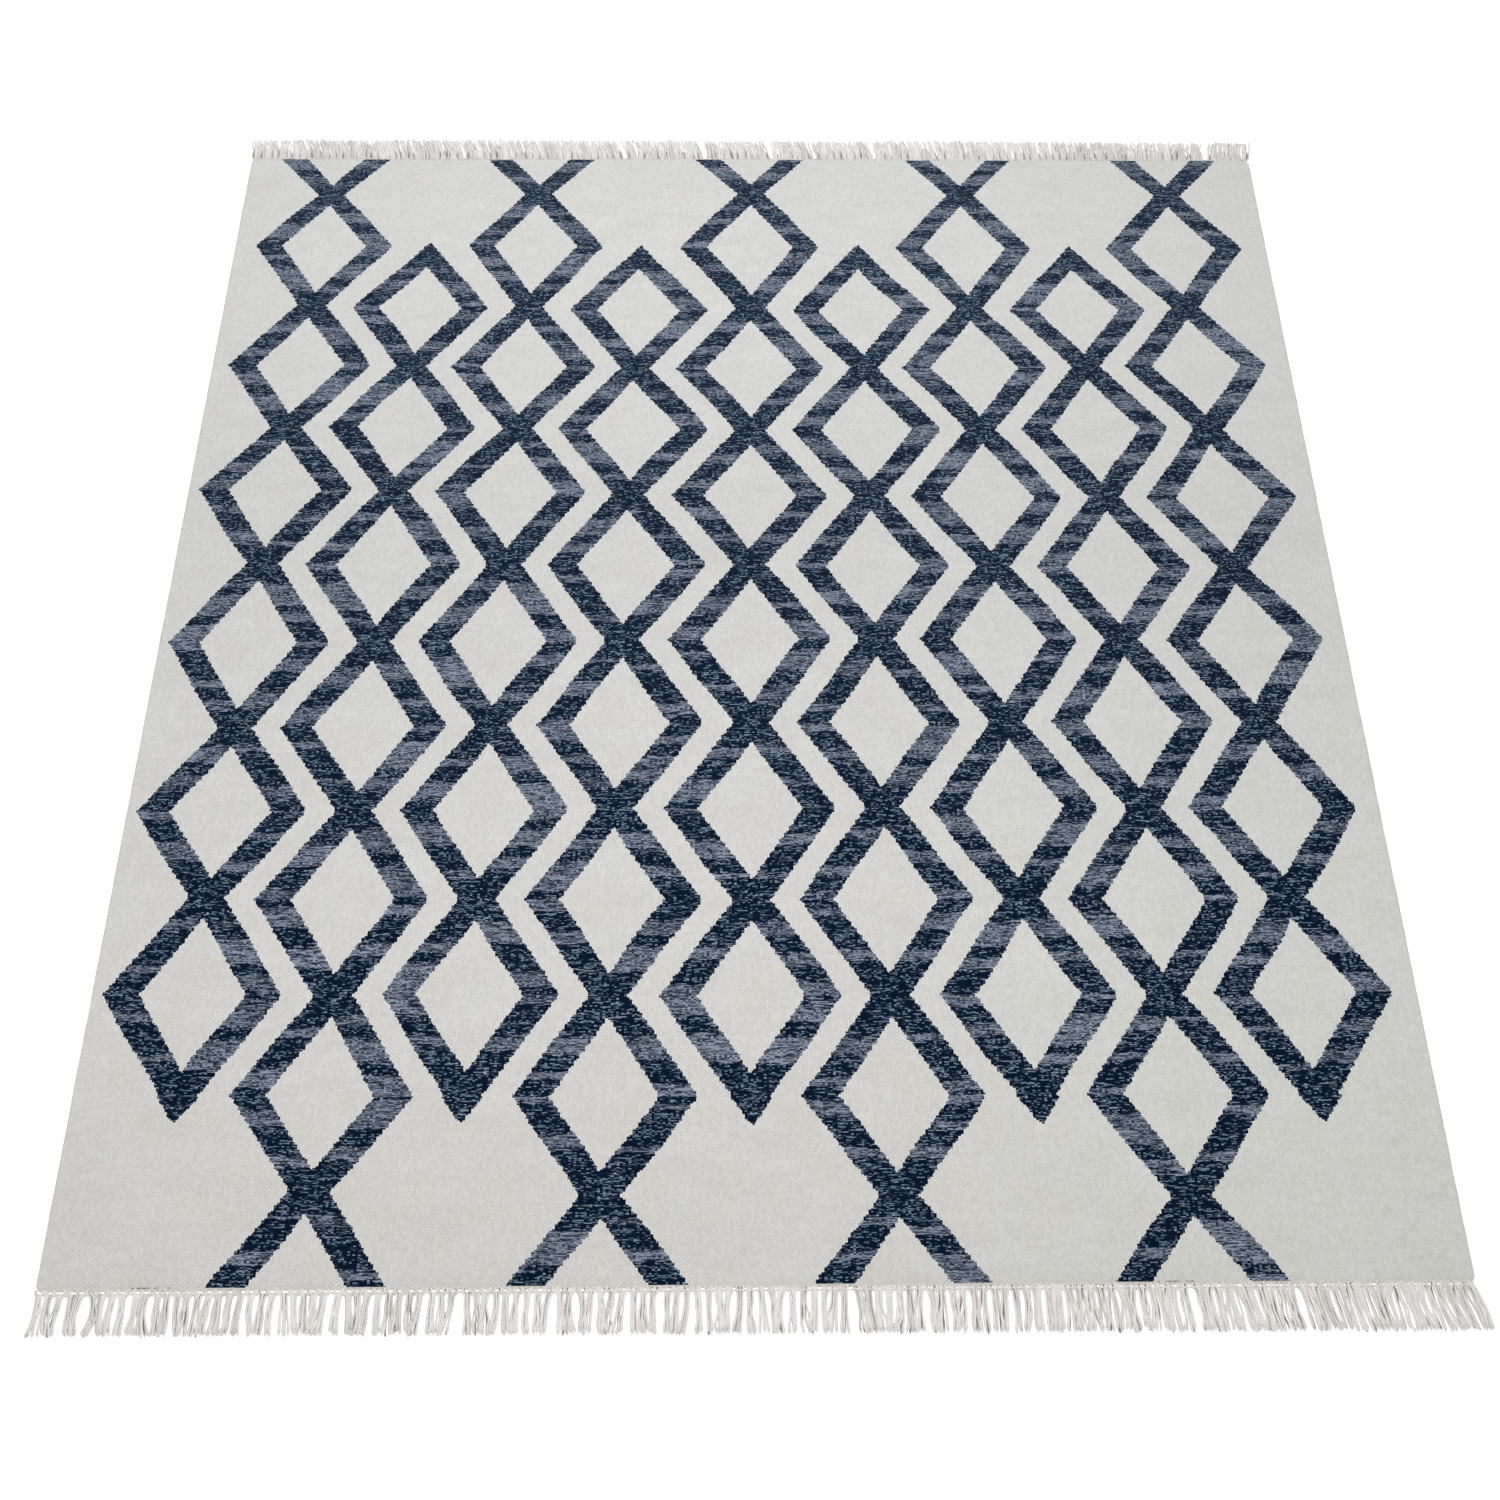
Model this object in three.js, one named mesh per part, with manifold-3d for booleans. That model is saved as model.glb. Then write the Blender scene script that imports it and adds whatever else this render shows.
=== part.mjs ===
// A flat-woven kilim rug with a warp fringe on both short ends, lying flat on a floor.
// Millimetres, +Z up, +Y along the rug towards its far end. The origin is under its middle.
// Three pieces: the woven cloth, and at each end a twined edge line with the locks of its fringe.
import * as THREE from "three";
import { mergeVertices } from "three/addons/utils/BufferGeometryUtils.js";
import Module from "manifold-3d";

const wasm = await Module();
wasm.setup();

// The woven cloth. A hand-woven end is never quite square: its left corner lies further out.
const CLOTH_WIDTH = 1600;
const CLOTH_LENGTH = 2300;
const CLOTH_THICKNESS = 4;
const BACK_END_SKEW = 7.6;
const FRONT_END_SKEW = 3.4;
const HALF_WIDTH = CLOTH_WIDTH / 2;
const HALF_LENGTH = CLOTH_LENGTH / 2;

// The round of the selvedge, as how far each point of its section lies in and up.
const SELVEDGE = [
  { inset: 1.2, height: 0 },
  { inset: 0.3, height: 1 },
  { inset: 0, height: 2 },
  { inset: 0.3, height: 3 },
  { inset: 1.2, height: CLOTH_THICKNESS },
];

// The round of a corner in plan, as the loss of half width at each distance from the end.
const CORNER = [
  { fromEnd: 0, loss: 3.2 },
  { fromEnd: 1.2, loss: 1.2 },
  { fromEnd: 4, loss: 0 },
];

// The twined line that holds the warps, just off the cloth's end.
const PARTING_GAP = 0.3;
const TWINING = [
  { out: 0, height: 0 },
  { out: 4.2, height: 0 },
  { out: 4.2, height: 1.8 },
  { out: 3.2, height: 3 },
  { out: 1, height: 3 },
  { out: 0, height: 1.8 },
];
const TWINING_WIDTH = 4.2;
const TWINING_SHORT_OF_SELVEDGE = 1;

// The locks of the fringe. Each is a loose bundle of a few warps that rests on the floor.
const LOCKS = 136;
const LOCK_PITCH = CLOTH_WIDTH / LOCKS;
const LOCK_LENGTH = 55;
const LOCK_LENGTH_UNEVEN = 2.5;
const LOCK_WIDTH_UNEVEN = 0.12;
const LOCK_SWAY_UNEVEN = 0.8;
const LOCK_ROOT_DEPTH = 2;

// A lock's section at shares of its length: its width on the floor, its width on top, its height
// and how much of the sideways sway of its tip it has there.
const LOCK_STATIONS = [
  { along: 0, foot: 6, crown: 4, height: 2.6, sway: 0 },
  { along: 0.35, foot: 6.4, crown: 4, height: 2.4, sway: 0.22 },
  { along: 0.7, foot: 6.4, crown: 3.6, height: 2, sway: 0.62 },
  { along: 1, foot: 5, crown: 2.8, height: 1.3, sway: 1 },
];

// Where the locks part, they leave a wider gap. Each side gives way by PARTING_PUSH.
const PARTING_PUSH = 3;
const PARTING_SPREAD = 24;

// Each end of the rug. out is its direction along Y, skew how far out its left corner lies,
// lean how far the tips lie to the right of their roots, and seed tells the two ends apart.
const FRONT_END = {
  out: -1,
  skew: FRONT_END_SKEW,
  seed: 1,
  lean: [
    { at: -800, tip: -3 },
    { at: -700, tip: 1 },
    { at: -350, tip: -1 },
    { at: 150, tip: 0 },
    { at: 420, tip: 2 },
    { at: 520, tip: 7 },
    { at: 800, tip: 11 },
  ],
  partings: [-690, -468, -325, -107, 110, 477, 598],
};
const BACK_END = {
  out: 1,
  skew: BACK_END_SKEW,
  seed: 2,
  lean: [
    { at: -800, tip: -2 },
    { at: -720, tip: -12 },
    { at: -400, tip: -12 },
    { at: 200, tip: -8 },
    { at: 450, tip: -3 },
    { at: 800, tip: 3 },
  ],
  partings: [-460, -205, -70, 40, 104, 205, 735],
};

// How far out the cloth's end lies at x, where the left corner is at -HALF_WIDTH.
function endLine(end, x) {
  return HALF_LENGTH - (end.skew * x) / HALF_WIDTH;
}

// A repeatable unevenness from -1 to 1 for the n-th of something.
function uneven(n, seed) {
  const wave = Math.sin(n * 12.9898 + seed * 78.233) * 43758.5453;
  return 2 * (wave - Math.floor(wave)) - 1;
}

// The value of a table at x, on straight lines between its rows.
function between(rows, key, value, x) {
  const next = Math.max(1, rows.findIndex((row) => row[key] >= x));
  const low = rows[next - 1];
  const high = rows[next];
  const share = (x - low[key]) / (high[key] - low[key]);
  return low[value] + share * (high[value] - low[value]);
}

// How far the tip of the lock at x lies to the right of its root.
function tipSway(end, x) {
  const push = end.partings
    .map((at) => Math.sign(x - at) * Math.exp(-Math.abs(x - at) / PARTING_SPREAD))
    .reduce((sum, each) => sum + each, 0);
  return between(end.lean, "at", "tip", x) + PARTING_PUSH * push;
}

// A closed solid through rings of points, each ring convex and with the same number of points.
function loft(rings) {
  const size = rings[0].length;
  const last = (rings.length - 1) * size;
  const faces = [];
  for (let r = 0; r < last; r += size) {
    for (let i = 0; i < size; i++) {
      const j = (i + 1) % size;
      faces.push(r + i, r + j, r + size + j);
      faces.push(r + i, r + size + j, r + size + i);
    }
  }
  for (let i = 1; i < size - 1; i++) {
    faces.push(0, i + 1, i);
    faces.push(last, last + i, last + i + 1);
  }
  const geometry = new THREE.BufferGeometry();
  geometry.setAttribute("position", new THREE.Float32BufferAttribute(rings.flat(2), 3));
  geometry.setIndex(faces);
  return geometry;
}

// A geometry as a solid that can be joined, turned round if its faces point inwards.
function solidOf(geometry) {
  const merged = mergeVertices(geometry);
  const points = merged.getAttribute("position").array;
  const outward = (faces) =>
    new wasm.Manifold(
      new wasm.Mesh({ numProp: 3, vertProperties: points, triVerts: new Uint32Array(faces) }),
    );
  const solid = outward(merged.index.array);
  return solid.volume() > 0 ? solid : outward(Array.from(merged.index.array).reverse());
}

// A joined solid back as a geometry.
function geometryOf(solid) {
  const mesh = solid.getMesh();
  const geometry = new THREE.BufferGeometry();
  geometry.setAttribute("position", new THREE.BufferAttribute(mesh.vertProperties, 3));
  geometry.setIndex(new THREE.BufferAttribute(mesh.triVerts, 1));
  geometry.computeVertexNormals();
  return geometry;
}

// The cloth's section at one distance from an end, round the left and the right selvedge.
function clothRing(end, corner) {
  const side = (sign, row) => {
    const x = sign * (HALF_WIDTH - corner.loss - row.inset);
    return [x, end.out * (endLine(end, x) - corner.fromEnd), row.height];
  };
  const right = SELVEDGE.map((row) => side(1, row));
  const left = SELVEDGE.map((row) => side(-1, row)).reverse();
  return [...right, ...left];
}

function wovenField() {
  const front = CORNER.map((corner) => clothRing(FRONT_END, corner));
  const back = CORNER.map((corner) => clothRing(BACK_END, corner)).reverse();
  return geometryOf(solidOf(loft([...front, ...back])));
}

// The twined line of one end, from its left to its right.
function twinedLine(end) {
  const reach = HALF_WIDTH - TWINING_SHORT_OF_SELVEDGE;
  const ring = (x) =>
    TWINING.map((row) => [x, end.out * (endLine(end, x) + PARTING_GAP + row.out), row.height]);
  return solidOf(loft([ring(-reach), ring(reach)]));
}

// The n-th lock of one end, from inside the twined line to its tip.
function lock(end, n) {
  const rootX = -HALF_WIDTH + (n + 0.5) * LOCK_PITCH;
  const sway = tipSway(end, rootX) + LOCK_SWAY_UNEVEN * uneven(n, end.seed);
  const length = LOCK_LENGTH + LOCK_LENGTH_UNEVEN * uneven(n, end.seed + 10);
  const fullness = 1 + LOCK_WIDTH_UNEVEN * uneven(n, end.seed + 20);
  const rootY = endLine(end, rootX) + PARTING_GAP + TWINING_WIDTH - LOCK_ROOT_DEPTH;
  const rings = LOCK_STATIONS.map((row) => {
    const x = rootX + sway * row.sway;
    const y = end.out * (rootY + (LOCK_ROOT_DEPTH + length) * row.along);
    const foot = (fullness * row.foot) / 2;
    const crown = (fullness * row.crown) / 2;
    return [
      [x - foot, y, 0],
      [x + foot, y, 0],
      [x + crown, y, row.height],
      [x - crown, y, row.height],
    ];
  });
  return solidOf(loft(rings));
}

// The twined line and the locks of one end are one solid, joined at the roots.
function fringe(end) {
  const locks = Array.from({ length: LOCKS }, (_, n) => lock(end, n));
  return geometryOf(locks.reduce((sum, each) => sum.add(each), twinedLine(end)));
}

function piece(name, geometry, colour) {
  const material = new THREE.MeshStandardMaterial({ color: colour, roughness: 0.95, metalness: 0 });
  const mesh = new THREE.Mesh(geometry, material);
  mesh.name = name;
  return mesh;
}

const rug = new THREE.Group();
rug.add(piece("woven_field", wovenField(), "#d7d5cf"));
rug.add(piece("fringe_front", fringe(FRONT_END), "#cfc8c1"));
rug.add(piece("fringe_back", fringe(BACK_END), "#d3d0cb"));

// The ends differ a little, so the rug is moved until the origin is under its middle.
const bounds = new THREE.Box3().setFromObject(rug);
const middle = bounds.getCenter(new THREE.Vector3());
rug.position.set(-middle.x, -middle.y, -bounds.min.z);

export default rug;
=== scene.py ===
"""A fringed flat-woven kilim rug, laid out on a studio floor.

Metres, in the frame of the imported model: +X across the rug, +Y along it to its far end, +Z up.
"""

import bpy
import numpy as np
from mathutils import Matrix, Vector


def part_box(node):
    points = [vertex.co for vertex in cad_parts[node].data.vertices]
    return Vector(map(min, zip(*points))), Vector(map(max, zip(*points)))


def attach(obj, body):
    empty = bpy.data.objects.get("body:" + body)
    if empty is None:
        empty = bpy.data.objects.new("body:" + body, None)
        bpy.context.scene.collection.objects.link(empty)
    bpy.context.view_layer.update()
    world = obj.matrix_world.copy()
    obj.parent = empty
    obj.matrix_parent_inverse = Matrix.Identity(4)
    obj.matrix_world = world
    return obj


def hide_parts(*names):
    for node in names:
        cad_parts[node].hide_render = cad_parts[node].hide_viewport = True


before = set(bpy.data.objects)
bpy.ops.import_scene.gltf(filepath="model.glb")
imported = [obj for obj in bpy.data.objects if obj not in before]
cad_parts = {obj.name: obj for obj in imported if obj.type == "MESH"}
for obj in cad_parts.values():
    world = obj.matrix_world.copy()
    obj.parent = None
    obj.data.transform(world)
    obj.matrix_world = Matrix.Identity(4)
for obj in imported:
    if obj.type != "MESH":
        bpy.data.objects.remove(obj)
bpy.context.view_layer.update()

# The woven cloth as the frame holds it: 1.6 by 2.3 m, with ends a little out of square, so that
# both left corners lie further out. All else is placed from the middle of this cloth.
front_skew = 0.0034
back_skew = 0.0076
corner_loss = 0.0032
cloth_low, cloth_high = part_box("woven_field")
thickness = cloth_high.z
half_width = (cloth_high.x - cloth_low.x) / 2
at_corner = 1 - corner_loss / half_width
half_length = (cloth_high.y - cloth_low.y - (front_skew + back_skew) * at_corner) / 2
middle_x = (cloth_high.x + cloth_low.x) / 2
middle_y = cloth_low.y + half_length + front_skew * at_corner


def end_line(x, skew):
    """How far out an end of the cloth lies at x: half its length, less the skew's share at x."""
    return half_length - skew * x / half_width


# The camera: a long lens on a high stand at the foot of the rug, 4.7 m from its middle. It looks
# down at the rug and takes in all of it, with both fringes.
sensor_mm = 36
lens_mm = 82.67
look_down = np.radians(42.105)
turn_right = np.radians(0.072)
roll = np.radians(-0.149)
stand_left = 0.008
stand_off = 3.587
stand_up = 3.004

stand = Vector((middle_x - stand_left, middle_y - stand_off, thickness + stand_up))
camera = bpy.data.objects.new("camera", bpy.data.cameras.new("camera"))
camera.data.sensor_width = sensor_mm
camera.data.lens = lens_mm
camera.matrix_world = (
    Matrix.Translation(stand)
    @ Matrix.Rotation(-turn_right, 4, "Z")
    @ Matrix.Rotation(np.pi / 2 - look_down, 4, "X")
    @ Matrix.Rotation(roll, 4, "Z")
)
bpy.context.scene.collection.objects.link(camera)
bpy.context.scene.camera = camera


# The kilim cloth: undyed wool weft packed over cotton warps, 4 mm thick, with a lattice of diamond
# chains in space-dyed navy and grey yarn. The near end has 3 mm of plain cotton heading.
column_gap = 54
level_picks = 112
bead_picks = 4
warp_pitch = 0.333 / (2 * column_gap)
pick_pitch = 0.161 / level_picks
cloth_cell = 0.0125
tucked_in = 0.001
edge_round = 0.0022
edge_stations = np.array([0, 0.25, 0.8, 1.6, 2.6, 4.0, 8.0]) / 1000
slow_waves = (0.0005, 0.35)
dimples = (0.0002, 0.06)

# At distances from an end: what a corner loses of its half width, and what share of its thickness
# the near end keeps.
corner_round = ([0, 0.0015, 0.004, 0.009], [0.006, 0.0032, 0.0012, 0])
near_thinning = ([0, 0.004, 0.008], [0.5, 0.8, 1])

# The chart. Columns of diamonds stand 54 warps apart, and this is where each lies across the rug.
column_warps = column_gap * np.arange(-5, 6)
column_places = np.array([-846, -679, -509.5, -343, -176, -2, 166.5, 333, 498, 664, 830]) / 1000

# Each level is 112 picks on from the one before, and crossings and corners lie on them. Hand
# beating makes some taller, so this is where each lies at the left, in the middle and at the right.
level_numbers = np.arange(-1, 15)
level_places = np.array(
    [
        [1187, 1050, 909, 748, 593, 441, 292, 125, -45, -218, -377, -536, -699, -865, -1006, -1166],
        [1181, 1051, 900, 734, 579, 427, 274, 118, -39, -209, -373, -541, -705, -868, -1022, -1163],
        [1175, 1037, 892, 732, 583, 428, 264, 109, -46, -210, -376, -540, -703, -865, -1022, -1161],
    ]
) / 1000
level_side = 0.68

# At places along the rug: how far the columns lie over to the right, how much further those at the
# left do, and to what share of the chart's width they are drawn in towards the far end.
lean_places = [-1.15, -0.87, -0.7, -0.5, 0, 0.5, 1.15]
leans = [-0.002, -0.0022, -0.0016, -0.0008, 0, 0.002, 0.003]
left_leans = [0.002, 0.005, 0.003, 0, 0, 0, 0.005]
narrowing = ([0.28, 0.9, 1.15], [1, 0.983, 0.99])
warp_wander = (0.0013, 0.09)
pick_wander = (0.0016, 0.12)

draw = np.random.default_rng(7)


def wander(x, y, size, length):
    """A smooth unevenness of about plus or minus size: 16 sine waves, none shorter than length."""
    waves = 16
    angles = draw.uniform(0, 2 * np.pi, waves)
    rates = 2 * np.pi / (length * draw.uniform(1, 3, waves))
    phases = draw.uniform(0, 2 * np.pi, waves)
    total = np.zeros(np.shape(x))
    for angle, rate, phase in zip(angles, rates, phases):
        way = np.cos(angle) * x + np.sin(angle) * y
        total = total + np.sin(rate * way + phase)
    return size * total / np.sqrt(waves)


def thread_counts(x, y):
    """The warps right of the middle column and the picks from the first crossing, from the chart.

    Both are read on straight lines between the chart's columns and levels, at a place moved by
    the leans and by a wander.
    """
    rightness = np.clip(x / level_side, -1, 1)
    left_lean = np.maximum(-rightness, 0) * np.interp(y, lean_places, left_leans)
    x_shift = wander(x, y, *warp_wander) - left_lean - np.interp(y, lean_places, leans)
    y_shift = wander(x, y, *pick_wander)
    warps = np.interp((x + x_shift) / np.interp(y, *narrowing), column_places, column_warps)
    left, middle, right = [np.interp(-y - y_shift, -row, level_numbers) for row in level_places]
    level = middle + np.maximum(rightness, 0) * (right - middle)
    level = level + np.maximum(-rightness, 0) * (left - middle)
    return warps, level_picks * level


def stations(length, steps, cell):
    """Places from 0 to length: the steps in from both sides, and even cells between them."""
    inner = np.linspace(steps[-1], length - steps[-1], round(length / cell))
    return np.concatenate([steps[:-1], inner, length - steps[-2::-1]])


def mesh_piece(name, points, faces, material, **maps):
    """A mesh object from points, arrays of faces and UV maps of two numbers for each point.

    The map OFBake lays a surface out flat for baking its colours. The cloth's face and back share
    one place in it, because they look the same.
    """
    mesh = bpy.data.meshes.new(name)
    sizes = np.concatenate([np.full(len(group), group.shape[1]) for group in faces])
    corners = np.concatenate([group.ravel() for group in faces])
    mesh.vertices.add(len(points))
    mesh.vertices.foreach_set("co", np.asarray(points, np.float32).ravel())
    mesh.loops.add(len(corners))
    mesh.loops.foreach_set("vertex_index", corners.astype(np.int32))
    mesh.polygons.add(len(sizes))
    mesh.polygons.foreach_set("loop_start", (np.cumsum(sizes) - sizes).astype(np.int32))
    mesh.update(calc_edges=True)
    for key, values in maps.items():
        layer = mesh.uv_layers.new(name=key)
        layer.uv.foreach_set("vector", np.asarray(values[corners], np.float32).ravel())
    mesh.materials.append(material)
    mesh.shade_smooth()
    piece = bpy.data.objects.new(name, mesh)
    bpy.context.scene.collection.objects.link(piece)
    return piece


def point_value(piece, name, values):
    """Gives a piece's mesh one number for each point, which its material reads by name."""
    attribute = piece.data.attributes.new(name, "FLOAT", "POINT")
    attribute.data.foreach_set("value", np.asarray(values, np.float32).ravel())


def linear(colour):
    """An sRGB hex colour as linear red, green and blue, with a full alpha."""
    parts = np.array([int(colour[i : i + 2], 16) for i in (1, 3, 5)]) / 255
    low = parts <= 0.04045
    return (*np.where(low, parts / 12.92, ((parts + 0.055) / 1.055) ** 2.4), 1)


def node(material, kind, inputs=(), output=0, **settings):
    """Adds a node, sets its settings, links or sets its inputs by place or name, returns an output."""
    made = material.node_tree.nodes.new("ShaderNode" + kind)
    for name, value in settings.items():
        setattr(made, name, value)
    pairs = inputs.items() if isinstance(inputs, dict) else enumerate(inputs)
    for socket, value in pairs:
        if isinstance(value, bpy.types.NodeSocket):
            material.node_tree.links.new(value, made.inputs[socket])
        else:
            made.inputs[socket].default_value = value
    return made.outputs[output]


def new_material(name, roughness):
    """A matt material with hardly any gloss and nothing painted yet, and its Principled shader."""
    material = bpy.data.materials.new(name)
    material.use_nodes = True
    shader = material.node_tree.nodes["Principled BSDF"]
    shader.inputs["Roughness"].default_value = roughness
    shader.inputs["Specular IOR Level"].default_value = 0.05
    return material, shader


def kilim_weave():
    """Weft-faced wool weave: matt, in beads of one warp by the four picks of one shed.

    The map threads counts warps and picks, so the pattern follows the cloth as its chart does.
    """
    kilim, shader = new_material("kilim_weave", 0.95)
    threads = node(kilim, "UVMap", uv_map="threads")
    warps = node(kilim, "SeparateXYZ", (threads,), 0)
    picks = node(kilim, "SeparateXYZ", (threads,), 1)

    # The pick and the bead under each point. Beads on odd warps lie two picks lower, as bricks do.
    # The pattern's place is that of the bead, and for a quarter that of the point: rounded steps.
    half_bead = bead_picks / 2
    point_share = 0.25
    warp = node(kilim, "Math", (warps,), operation="FLOOR")
    pick = node(kilim, "Math", (picks,), operation="FLOOR")
    odd = node(kilim, "Math", (warp, 1.0), operation="PINGPONG")
    shifted = node(kilim, "Math", (odd, half_bead, picks), operation="MULTIPLY_ADD")
    beads_down = node(kilim, "Math", (shifted, bead_picks), operation="DIVIDE")
    row = node(kilim, "Math", (beads_down,), operation="FLOOR")
    row_middle = node(kilim, "Math", (row, bead_picks, half_bead), operation="MULTIPLY_ADD")
    bead_middle = node(kilim, "Math", (odd, -half_bead, row_middle), operation="MULTIPLY_ADD")
    warp_middle = node(kilim, "Math", (warp, 0.5), operation="ADD")
    middle = node(kilim, "Mix", {0: point_share, 2: warp_middle, 3: warps})
    stepped = node(kilim, "Mix", {0: point_share, 2: bead_middle, 3: picks})
    level = node(kilim, "Math", (stepped, level_picks), operation="DIVIDE")
    bead = node(kilim, "CombineXYZ", (warp, row, 0.0))
    stitch = node(kilim, "CombineXYZ", (warp, pick, 0.5))

    # The lattice. Five chains of diamonds run out at the far end and stop in a blunt point short
    # of the near one, and the four between them start in a point and run out at the near end. A
    # chain zigzags out from its column and back, crossing on one level and turning on the next.
    far_chain_stops = 12.04
    near_chain_starts = 1.18
    start_slope = 1.12
    to_far_chain = node(kilim, "Math", (middle, column_gap), operation="PINGPONG")
    to_near_chain = node(kilim, "Math", (column_gap, to_far_chain), operation="SUBTRACT")
    zigzag = node(kilim, "Math", (level, 1.0), operation="PINGPONG")
    counter = node(kilim, "Math", (1.0, zigzag), operation="SUBTRACT")
    before_stop = node(kilim, "Math", (far_chain_stops, level), operation="SUBTRACT")
    from_start = (level, start_slope, -near_chain_starts * start_slope)
    after_start = node(kilim, "Math", from_start, operation="MULTIPLY_ADD")
    far_share = node(kilim, "Math", (zigzag, before_stop), operation="MINIMUM")
    near_share = node(kilim, "Math", (counter, after_start), operation="MINIMUM")

    # Each arm is about 14 warps wide, a little more at the near end and a little less where two
    # cross, and its edges step unevenly.
    block_warps = 11
    arm_half = 6.35
    arm_uneven = 0.4
    growth = 0.04
    block = node(kilim, "Math", (middle, block_warps), operation="SNAP")
    edge_spot = node(kilim, "CombineXYZ", (block, row, 5.0))
    edge_draw = node(kilim, "TexWhiteNoise", {"Vector": edge_spot}, noise_dimensions="3D")
    ragged = node(kilim, "Math", (edge_draw, arm_uneven, arm_half), operation="MULTIPLY_ADD")
    half_arm = node(kilim, "Math", (level, growth, ragged), operation="MULTIPLY_ADD")
    turn_reach = 27.1
    crossing_reach = 0.75

    def chain(off_column, share):
        """A chain's reach from its column, in warps, and whether a point is within its arms."""
        at_share = (share, turn_reach, crossing_reach)
        reach = node(kilim, "Math", at_share, operation="MULTIPLY_ADD")
        off = node(kilim, "Math", (off_column, reach), operation="SUBTRACT")
        away = node(kilim, "Math", (off,), operation="ABSOLUTE")
        waist = node(kilim, "MapRange", (share, 0.18, 0.36, 0.4, 0.0))
        half = node(kilim, "Math", (half_arm, waist), operation="SUBTRACT")
        return reach, node(kilim, "Math", (away, half), operation="LESS_THAN")

    far_reach, far_arms = chain(to_far_chain, far_share)
    near_reach, near_arms = chain(to_near_chain, near_share)
    blunt = node(kilim, "Math", (far_share, -0.235), operation="GREATER_THAN")
    in_far = node(kilim, "Math", (far_arms, blunt), operation="MULTIPLY")
    across = node(kilim, "Math", (middle,), operation="ABSOLUTE")
    inside = node(kilim, "Math", (across, 4 * column_gap), operation="LESS_THAN")
    in_near = node(kilim, "Math", (near_arms, inside), operation="MULTIPLY")
    in_arm = node(kilim, "Math", (in_far, in_near), operation="MAXIMUM")

    # The weaver works each leg with a bundle of its own, so each leg's bands start anew.
    strip = node(kilim, "Math", (middle, column_gap), operation="SNAP")
    leg_level = node(kilim, "Math", (level,), operation="FLOOR")
    leg = node(kilim, "CombineXYZ", (strip, leg_level, in_far))
    leg_draw = node(kilim, "TexWhiteNoise", {"Vector": leg}, noise_dimensions="3D")
    leg_colour = node(kilim, "TexWhiteNoise", {"Vector": leg}, 1, noise_dimensions="3D")
    leg_share = node(kilim, "SeparateColor", (leg_colour,), 1)

    # A yarn keeps its colour along a pick for about 4 warps, 11 mm. One shed shows on even warps
    # only and the next on odd ones, so a light yarn makes a row of dots, or a dash in both sheds.
    dash_spot = node(kilim, "VectorMath", (stitch, (0.27, 5.37, 1.0)), operation="MULTIPLY")
    dash = node(kilim, "TexNoise", {"Vector": dash_spot, "Scale": 1.0, "Detail": 1.0})
    shed_shift = node(kilim, "CombineXYZ", (31.0, odd, 7.0))
    dot_spot = node(kilim, "VectorMath", (dash_spot, shed_shift), operation="ADD")
    dot = node(kilim, "TexNoise", {"Vector": dot_spot, "Scale": 1.0, "Detail": 1.0})
    yarn = node(kilim, "Math", (dash, dot), operation="MAXIMUM")

    # Space-dyed yarn: a run of navy and one of grey, 66 mm in all, that change along the picks. A
    # little less is grey towards the near end, and each grey run has a strength of its own.
    run_picks = 46
    pick_runs = node(kilim, "Math", (pick, run_picks), operation="DIVIDE")
    run_spot = node(kilim, "CombineXYZ", (leg_draw, pick_runs, strip))
    run_length = node(kilim, "TexNoise", {"Vector": run_spot, "Scale": 1.3, "Detail": 0.0})
    run_start = node(kilim, "Math", (leg_draw, 7.0, pick_runs), operation="MULTIPLY_ADD")
    band = node(kilim, "Math", (run_length, 1.2, run_start), operation="MULTIPLY_ADD")
    swing = node(kilim, "Math", (band, 0.5), operation="PINGPONG")
    leg_grey = node(kilim, "Math", (leg_share, 0.16, -0.365), operation="MULTIPLY_ADD")
    less_grey = node(kilim, "Math", (level, -0.006, leg_grey), operation="MULTIPLY_ADD")
    over = node(kilim, "Math", (swing, less_grey), operation="ADD")
    broken = node(kilim, "Math", (dash, 0.3, -0.13), operation="MULTIPLY_ADD")
    edge = node(kilim, "Math", (over, broken), operation="ADD")
    grey_run = node(kilim, "MapRange", (edge, -0.02, 0.02, 0.0, 1.0))
    band_number = node(kilim, "Math", (band,), operation="FLOOR")
    band_spot = node(kilim, "CombineXYZ", (strip, leg_level, band_number))
    band_draw = node(kilim, "TexWhiteNoise", {"Vector": band_spot}, noise_dimensions="3D")
    band_tone = node(kilim, "MapRange", (band_draw, 0.0, 1.0, 0.6, 1.0))
    grey_tone = node(kilim, "Math", (grey_run, band_tone), operation="MULTIPLY")

    # Where two arms cross there is only navy.
    reach_gap = node(kilim, "Math", (far_reach, near_reach), operation="SUBTRACT")
    reach = node(kilim, "Math", (reach_gap, in_far, near_reach), operation="MULTIPLY_ADD")
    reach_edge = node(kilim, "Math", (dash, 9.0, reach), operation="MULTIPLY_ADD")
    off_crossing = node(kilim, "MapRange", (reach_edge, 11.5, 12.5, 0.0, 1.0))
    grey_share = node(kilim, "Math", (grey_tone, off_crossing), operation="MULTIPLY")

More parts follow.
